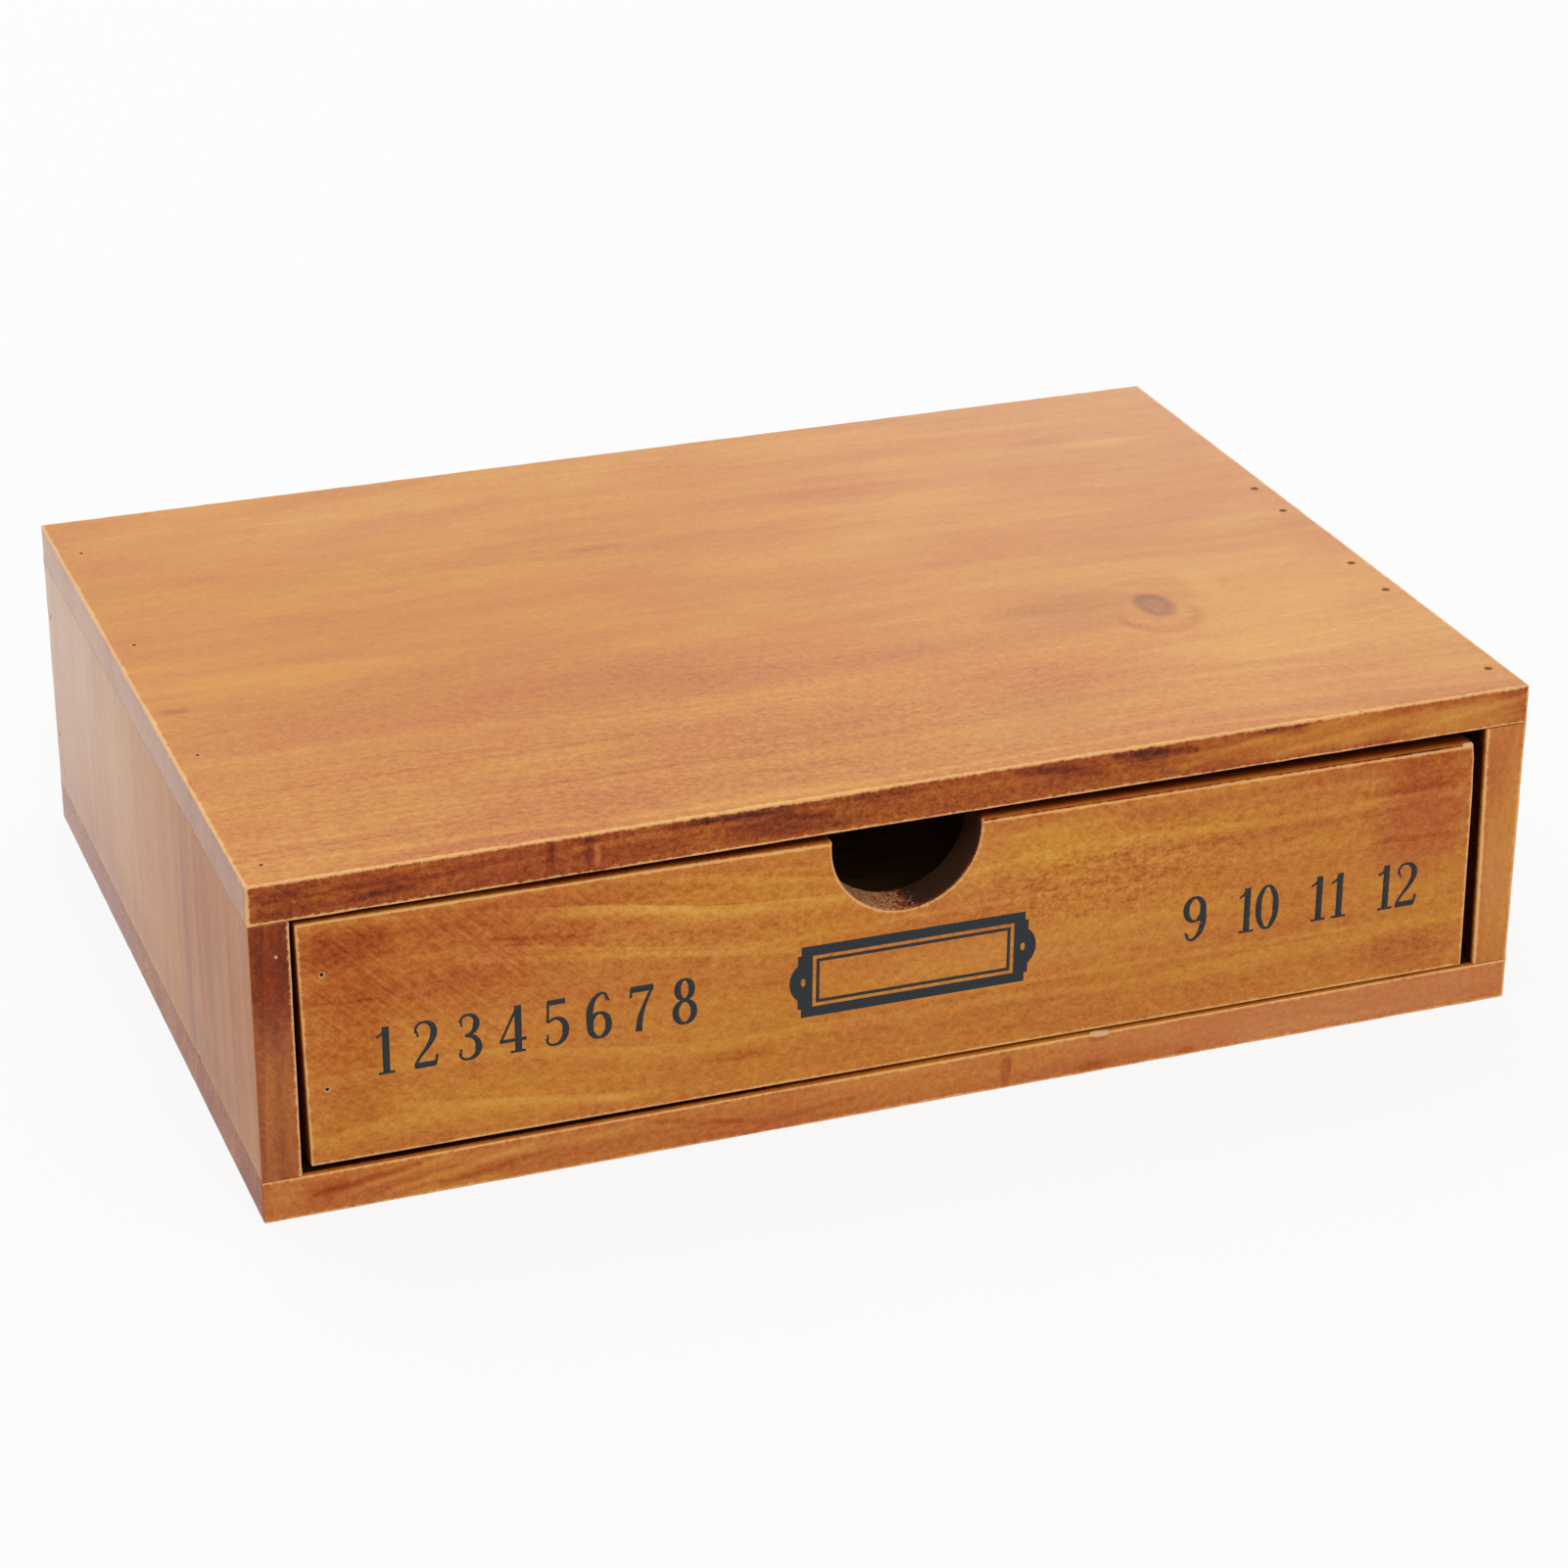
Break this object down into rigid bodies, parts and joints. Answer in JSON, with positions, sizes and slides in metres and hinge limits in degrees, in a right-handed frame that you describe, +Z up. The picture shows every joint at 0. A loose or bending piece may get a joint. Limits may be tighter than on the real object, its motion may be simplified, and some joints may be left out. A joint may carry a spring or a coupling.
{
  "type": "desktop drawer box",
  "caption": "Low stained-softwood desktop box with one full-width drawer, which is pulled open by a round finger notch in its front.",
  "frame": {"origin": "middle of the underside, on the surface that the box stands on", "axes": "+X to the right, +Y to the back, +Z up; the drawer opens towards -Y"},
  "size_m": [0.26, 0.185, 0.07],
  "materials": {
    "stained_top": "stained softwood, clear satin varnish",
    "stained_floor": "stained softwood, clear satin varnish",
    "stained_side": "stained softwood, clear satin varnish",
    "stained_back": "stained softwood, clear satin varnish",
    "stained_drawer_front": "stained softwood, clear satin varnish",
    "drawer_box_wood": "thinly stained softwood, matt",
    "drawer_bottom_plywood": "thinly stained plywood, matt",
    "brad_steel": "dull steel brads, darkened",
    "printed_ink": "flat blue-black printing ink, slightly worn"
  },
  "bodies": {
    "case": {"top_board": "stained_top", "bottom_board": "stained_floor", "left_side_board": "stained_side", "right_side_board": "stained_side", "back_board": "stained_back", "top_nails_left": "brad_steel", "top_nails_right": "brad_steel", "bottom_nails_left": "brad_steel", "bottom_nails_right": "brad_steel", "back_nails_left": "brad_steel", "back_nails_right": "brad_steel"},
    "drawer": {"drawer_front": "stained_drawer_front", "drawer_left_side": "drawer_box_wood", "drawer_right_side": "drawer_box_wood", "drawer_back": "drawer_box_wood", "drawer_bottom": "drawer_bottom_plywood", "drawer_front_nails_left": "brad_steel", "drawer_front_nails_right": "brad_steel", "drawer_back_nails_left": "brad_steel", "drawer_back_nails_right": "brad_steel", "drawer_bottom_nails_left": "brad_steel", "drawer_bottom_nails_right": "brad_steel", "drawer_bottom_nails_back": "brad_steel"}
  },
  "joints": [
    {"name": "drawer_slide", "type": "slide", "parent": "case", "child": "drawer", "axis": [0, -1, 0], "range_m": [0, 0.14]}
  ]
}
